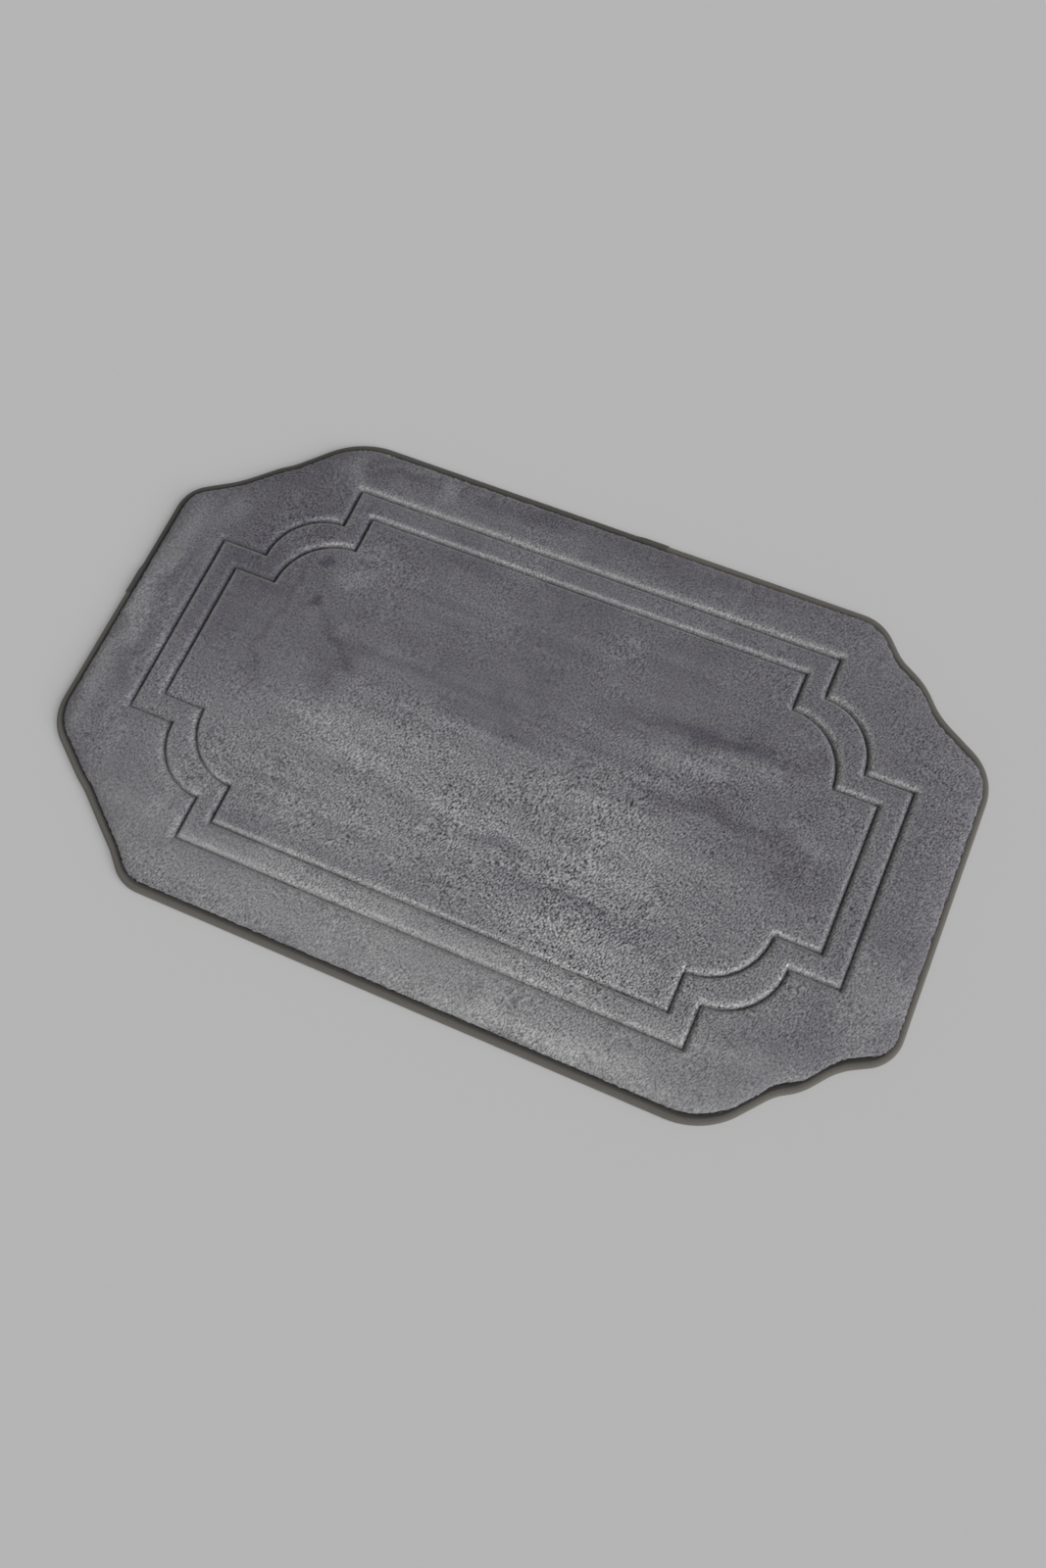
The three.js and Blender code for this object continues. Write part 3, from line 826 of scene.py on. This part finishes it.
def tape_section():
    """The folded tape's section, from its upper edge round to its lower edge.

    Gives the inset of each point's centre of curvature, and the way out of the fold from there.
    """
    leg = np.linspace(TAPE_WIDTH, FOLD_RADIUS, SECTION_LEG, endpoint=False)
    angles = np.linspace(math.pi / 2, 3 * math.pi / 2, SECTION_FOLD)
    insets = np.concatenate([leg, np.full(SECTION_FOLD, FOLD_RADIUS), leg[::-1]])
    up = np.tile([0.0, 1.0], (SECTION_LEG, 1))
    return insets, np.concatenate([up, np.stack([np.cos(angles), np.sin(angles)], 1), -up])


def tape_skin(distance, lift, swell, thickness):
    """The (inset, height) points of one side of the cloth, for every station of a tape."""
    insets, ways = tape_section()
    radius = FOLD_RADIUS + lift - thickness
    skin = np.stack(np.broadcast_arrays(insets, FOLD_HEIGHT), 1) + radius[:, None, None] * ways
    skin[..., 0] += 0.5 * swell[:, None] * (ways[:, 0] < -0.01)
    side = np.sign(ways[:, 1])
    skin[..., 1] -= side * tape_sink(distance[:, None], insets, side > 0)
    return skin


def binding_tape(name, order, lift, material, node):
    """One length of folded tape along the given stations, each lifted off by its own amount."""
    at, out, distance = TAPE_EDGE.points[order], TAPE_EDGE.out[order], TAPE_EDGE.distance[order]
    swell = sum(amount * noise(at) for noise, amount in TAPE_SWELL)
    outside = tape_skin(distance, lift, swell, 0)
    inside = tape_skin(distance, lift, swell, TAPE_THICKNESS)
    section = np.concatenate([outside, inside[:, ::-1]], 1)
    plan = at[:, None] - out[:, None] * section[..., :1]
    points = np.concatenate([plan, section[..., 1:]], 2).reshape(-1, 3)
    rows, count = section.shape[:2]
    faces = strip_faces(rows, count)
    last = (rows - 1) * count
    for start, turned in ((0, True), (last, False)):
        for k in range(count // 2 - 1):
            cap = (start + k, start + k + 1, start + count - 2 - k, start + count - 1 - k)
            faces.append(cap[::-1] if turned else cap)
    piece = make_mesh(name, points, faces)
    across = np.linspace(0, TAPE_CUT_WIDTH, count // 2)
    both_skins = [*across, *across[::-1]]
    places = np.stack(np.broadcast_arrays(distance[:, None], both_skins), 2).reshape(-1, 2)
    tape_uv = piece.data.uv_layers.new(name="tape")
    corners = np.zeros(len(piece.data.loops), int)
    piece.data.loops.foreach_get("vertex_index", corners)
    tape_uv.data.foreach_set("uv", places[corners].astype(np.float32).ravel())
    return finished(piece, material, "tape", node)


def binding_tapes():
    """The short tape round the back left corner and the long one, which it laps at both ends."""
    distance = TAPE_EDGE.distance
    short = np.flatnonzero((distance >= LAPS[0]) & (distance <= LAPS[1]))
    covered = LAP_LENGTH - LAP_TUCK
    long = np.concatenate([
        np.flatnonzero(distance >= LAPS[1] - covered),
        np.flatnonzero(distance <= LAPS[0] + covered),
    ])
    # the short tape is darker partly by its dye and partly by painted shade on the back left side
    darker = tape_material("woven_tape_dark_dye_and_shade", rgb(0.095, 0.089, 0.08))
    paler = tape_material("woven_tape", rgb(0.158, 0.148, 0.132))
    lift = lap_lift(distance[short])
    binding_tape("binding_tape_back_left", short, lift, darker, "binding_tape_short")
    binding_tape("binding_tape_main", long, np.zeros(len(long)), paler, "binding_tape_long")


def stitched_thread(name, side, node):
    """One thread of the lockstitch: it runs over the tape and dips into it at each needle hole."""
    per_stitch, sides = 8, 6
    stitches = round(EDGE.length / STITCH)
    line = Loop(EDGE.inwards(THREAD_INSET), EDGE.length / stitches / per_stitch)
    at_edge = np.arange(line.count) * EDGE.length / line.count
    phase = np.arange(line.count) / per_stitch
    dip = np.abs(np.cos(math.pi * phase)) ** 8
    surface = FOLD_RADIUS + lap_lift(at_edge) - tape_sink(at_edge, THREAD_INSET, side > 0)
    height = FOLD_HEIGHT + side * (surface + THREAD_RADIUS * 0.8 - NEEDLE_DIP * dip)
    sway = THREAD_SWAY * np.sin(math.pi * phase)
    angles = 2 * math.pi * np.arange(sides) / sides
    rows = []
    for angle in angles:
        plan = line.points + line.out * (sway + THREAD_RADIUS * math.cos(angle))[:, None]
        rows.append(np.column_stack([plan, height + THREAD_RADIUS * math.sin(angle)]))
    faces = strip_faces(sides, line.count, closed_rows=True)
    piece = make_mesh(name, np.concatenate(rows), faces)
    return finished(piece, THREAD_MATERIAL, "thread", node)


# ---------- the underside ----------

DOT_GRID = (10.0, 14.0, 0.0)  # as the grids above
DOT_RADIUS = 1.75
DOT_PROFILE = [(1.0, 1.36), (0.8, 0.42), (0.42, 0.06)]  # (share of the radius, height)
DOT_SIDES, DOT_JITTER, DOT_SIZES = 8, 0.25, (0.88, 1.08)  # sizes as shares of the radius
LABEL_WIDTH, LABEL_LENGTH, LABEL_THICKNESS, LABEL_X = 28.0, 40.0, 0.3, -190.0
LABEL_START = -WIDTH / 2 + TAPE_WIDTH + GAP
LABEL_HEIGHT = 0.98  # of its upper face, at the seam
LABEL_CLEARANCE = 4.0


def grip_dots():
    """Droplets of PVC on the backing, each a low dome, left out round the label."""
    places = mat_grid(*DOT_GRID)
    near_label = np.abs(places[:, 0] - LABEL_X) < LABEL_WIDTH / 2 + LABEL_CLEARANCE
    near_label &= places[:, 1] < LABEL_START + LABEL_LENGTH + LABEL_CLEARANCE
    places = places[~near_label]
    places = places + RANDOM.uniform(-DOT_JITTER, DOT_JITTER, places.shape)
    angles = 2 * math.pi * np.arange(DOT_SIDES) / DOT_SIDES
    points, faces = [], []
    for x, y in places:
        radius = DOT_RADIUS * RANDOM.uniform(*DOT_SIZES)
        turned = angles + RANDOM.uniform(0, math.pi)
        start = len(points)
        for share, height in DOT_PROFILE:
            points += [
                (x + radius * share * math.cos(a), y + radius * share * math.sin(a), height)
                for a in turned
            ]
        points.append((x, y, 0.0))
        for ring in range(len(DOT_PROFILE) - 1):
            for i in range(DOT_SIDES):
                here, there = start + ring * DOT_SIDES, start + (ring + 1) * DOT_SIDES
                j = (i + 1) % DOT_SIDES
                faces.append((here + j, here + i, there + i, there + j))
        last, tip = start + (len(DOT_PROFILE) - 1) * DOT_SIDES, len(points) - 1
        faces += [(last + (i + 1) % DOT_SIDES, last + i, tip) for i in range(DOT_SIDES)]
        faces.append(tuple(start + i for i in range(DOT_SIDES)))
    return finished(make_mesh("grip_dots", points, faces), dot_material(), "dots", "grip_dot_layer")


def care_label():
    """A blank ribbon, sewn in at one end and a little curled at the other."""
    across, along = 15, 22
    xs = np.linspace(-0.5, 0.5, across)
    ys = np.linspace(0, 1, along)
    share_x, share_y = (grid.ravel() for grid in np.meshgrid(xs, ys))
    wave = 0.1 * np.sin(5 * share_y + 3 * share_x) - 0.18 * share_y ** 3 + 0.08 * share_x ** 2
    plan = np.column_stack([
        LABEL_X + LABEL_WIDTH * share_x + 0.4 * share_y,
        LABEL_START + LABEL_LENGTH * share_y,
    ])
    upper = raised(plan, LABEL_HEIGHT + wave)
    lower = raised(plan, LABEL_HEIGHT - LABEL_THICKNESS + wave)
    faces = strip_faces(along, across, closed_count=False)
    count = across * along
    faces += [tuple(count + i for i in face[::-1]) for face in faces]
    rim = [
        *range(across),
        *range(2 * across - 1, count, across),
        *range(count - 2, count - across - 1, -1),
        *range(count - 2 * across, 0, -across),
    ]
    faces += [(b, a, a + count, b + count) for a, b in zip(rim, rim[1:] + rim[:1])]
    piece = make_mesh("care_label_ribbon", np.concatenate([upper, lower]), faces)
    return finished(piece, label_material(), "label", "care_label")


# ---------- loose fibres ----------

RIM_FIBRES, FIBRES_PER_LINE = 8000, 9000
RIM_FIBRE_SIZE, LINE_FIBRE_SIZE = (1.1, 0.42), (1.3, 0.4)  # length and width
FIBRE_TONE_SPREAD = 0.25
# How steeply the rim's fibres stand, as (row of the pile's roll, rise), from the lowest such row.
RIM_FIBRE_RISE = [(3, 0.1), (5, 0.8), (8, 2.2)]
RIM_FIBRE_SCATTER = 0.9
ROOT_INSET, RIM_ROOT_DEPTH, LINE_ROOT_DEPTH = 0.25, 0.2, 0.25  # how far the roots are sunk
LINE_FIBRES_BESIDE = (1.6, 6.5)  # the distances from a line between which its fibres grow
NAP_WAY = np.array([math.cos(math.radians(NAP_TURN)), math.sin(math.radians(NAP_TURN)), 0])


def fibres(name, roots, ways, length, width):
    """Small tapering fibres of the pile, each with three sides, closed at its root."""
    count = len(roots)
    ways = unit(ways)
    lengths = length * RANDOM.uniform(0.6, 1.2, (count, 1))
    across = unit(np.cross(ways, RANDOM.normal(size=(count, 3))))
    other = np.cross(ways, across)
    corners = [
        roots + width / 2 * (across * math.cos(a) + other * math.sin(a))
        for a in (0, 2 * math.pi / 3, 4 * math.pi / 3)
    ]
    points = np.stack([*corners, roots + ways * lengths], 1).reshape(-1, 3)
    faces = [
        (base + a, base + b, base + c)
        for base in range(0, 4 * count, 4)
        for a, b, c in ((0, 1, 3), (1, 2, 3), (2, 0, 3), (2, 1, 0))
    ]
    plan = roots[:, :2]
    # the fibres take the pile's tone, painted sheen, light and shade included
    tone = nap_and_light_tone(plan, *line_offset(plan)) + RANDOM.normal(0, FIBRE_TONE_SPREAD, count)
    piece = make_mesh(name, points, faces, {
        "nap_and_light": np.repeat(tone, 4), "ruffle": np.full(4 * count, 0.2), "crease": np.zeros(4 * count),
        "ditch": np.zeros(4 * count),
    })
    piece.data.materials.append(PILE_MATERIAL)
    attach(piece, BODY)
    return piece


def rim_fibres():
    """Fibres that stand out of the rolled edge, over the tape."""
    count = RIM_FIBRES
    insets, heights, shares = np.array(PILE_ROLL).T
    row = np.arange(len(PILE_ROLL))
    rise_rows, rises = zip(*RIM_FIBRE_RISE)
    place = RANDOM.uniform(rise_rows[0], len(row) - 1.01, count)
    station = RANDOM.integers(0, EDGE.count, count)
    inset = np.interp(place, row, insets) - np.interp(place, row, shares) * OVERHANG[station]
    plan = EDGE.points[station] - EDGE.out[station] * (inset + ROOT_INSET)[:, None]
    plan = plan + RANDOM.uniform(-1, 1, (count, 2)) * RIM_FIBRE_SCATTER
    roots = np.column_stack([plan, np.interp(place, row, heights) - RIM_ROOT_DEPTH])
    rise = np.interp(place, rise_rows, rises)
    ways = np.column_stack([EDGE.out[station], rise]) + RANDOM.normal(0, 0.35, (count, 3))
    return fibres("pile_rim_fibres", roots, ways + 0.3 * NAP_WAY, *RIM_FIBRE_SIZE)


def shoulder_fibres():
    """Fibres that lean in over the embossed lines."""
    points, lean = [], []
    on_the_flat = PILE_SHOULDER[-1][0] + 2.0
    for line in LINES:
        loop = Loop(line, 1.0)
        station = RANDOM.integers(0, loop.count, FIBRES_PER_LINE)
        side = RANDOM.choice([-1, 1], FIBRES_PER_LINE)
        offset = RANDOM.uniform(*LINE_FIBRES_BESIDE, FIBRES_PER_LINE)
        points.append(loop.points[station] + loop.out[station] * (side * offset)[:, None])
        lean.append(-loop.out[station] * side[:, None])
    plan, lean = np.concatenate(points), np.concatenate(lean)
    height = pile_height(plan, np.full(len(plan), on_the_flat), line_gap(plan))
    roots = np.column_stack([plan, height - LINE_ROOT_DEPTH])
    ways = np.column_stack([lean * 0.5, np.full(len(plan), 1.0)])
    ways = ways + RANDOM.normal(0, 0.4, ways.shape) + 0.4 * NAP_WAY
    return fibres("pile_line_fibres", roots, ways, *LINE_FIBRE_SIZE)


# ---------- camera and studio ----------

CAMERA_PLACE = (0.2930, -0.4117, 1.2093)
CAMERA_TURN = (0.3120, 0.2085, 0.3709)  # radians about X, Y and Z, where Z is applied first
LENS, SENSOR_HEIGHT = 33.94, 36.0
FLOOR_REACH, FLOOR_SHADE, FLOOR_GLOW = 120.0, 0.33, 0.195
KEY_STRENGTH, KEY_SIZE, KEY_TURN = 3.05, 42, (55, 0, 75)  # the size and the turn are in degrees
# The surround's brightness by how steeply a ray goes up: pale near the horizon, like the floor.
SURROUND = {"From Min": 0.12, "From Max": 0.4, "To Min": 0.455, "To Max": 0.2}


def camera():
    """The viewpoint: from the front right, high above the mat."""
    data = bpy.data.cameras.new("camera")
    data.sensor_fit = "VERTICAL"
    data.sensor_height = SENSOR_HEIGHT
    data.lens = LENS
    holder = bpy.data.objects.new("camera", data)
    holder.location = CAMERA_PLACE
    holder.rotation_mode = "ZYX"
    holder.rotation_euler = CAMERA_TURN
    bpy.context.scene.collection.objects.link(holder)
    bpy.context.scene.camera = holder


def surround():
    """A grey surround that grows paler towards the horizon."""
    world = bpy.data.worlds.new("surround")
    world.use_nodes = True
    nodes, links = world.node_tree.nodes, world.node_tree.links
    way = nodes.new("ShaderNodeTexCoord")
    rise = nodes.new("ShaderNodeSeparateXYZ")
    fade = nodes.new("ShaderNodeMapRange")
    for key, value in SURROUND.items():
        fade.inputs[key].default_value = value
    nodes["Background"].inputs["Color"].default_value = rgb(1, 1, 1)
    links.new(way.outputs["Generated"], rise.inputs["Vector"])
    links.new(rise.outputs["Z"], fade.inputs["Value"])
    links.new(fade.outputs["Result"], nodes["Background"].inputs["Strength"])
    return world


def studio():
    """A plain pale floor, a grey surround and one soft key light from the front right."""
    mesh = bpy.data.meshes.new("floor")
    ways = ((-1, -1), (1, -1), (1, 1), (-1, 1))
    corners = [(x * FLOOR_REACH, y * FLOOR_REACH, 0) for x, y in ways]
    mesh.from_pydata(corners, [], [(0, 1, 2, 3)])
    floor = bpy.data.objects.new("floor", mesh)
    bpy.context.scene.collection.objects.link(floor)
    graph = Graph("studio_floor")
    floor.data.materials.append(graph.surface(
        Base_Color=rgb(FLOOR_SHADE, FLOOR_SHADE, FLOOR_SHADE), Roughness=1.0,
        Emission_Color=rgb(1, 1, 1), Emission_Strength=FLOOR_GLOW,
    ))
    bpy.context.scene.world = surround()
    key = bpy.data.lights.new("key", "SUN")
    key.energy = KEY_STRENGTH
    key.angle = math.radians(KEY_SIZE)
    holder = bpy.data.objects.new("key", key)
    holder.rotation_euler = [math.radians(angle) for angle in KEY_TURN]
    bpy.context.scene.collection.objects.link(holder)
    bpy.context.scene.view_settings.view_transform = "Standard"


# ---------- build ----------

camera()
studio()
PILE_MATERIAL, THREAD_MATERIAL = pile_material(), thread_material()

cover = plush_cover()
foam = foam_core()
back = backing()
binding_tapes()
stitched_thread("needle_thread_stitches", 1, "needle_thread")
stitched_thread("bobbin_thread_stitches", -1, "bobbin_thread")
dots = grip_dots()
label = care_label()
rim_pile = rim_fibres()
line_pile = shoulder_fibres()
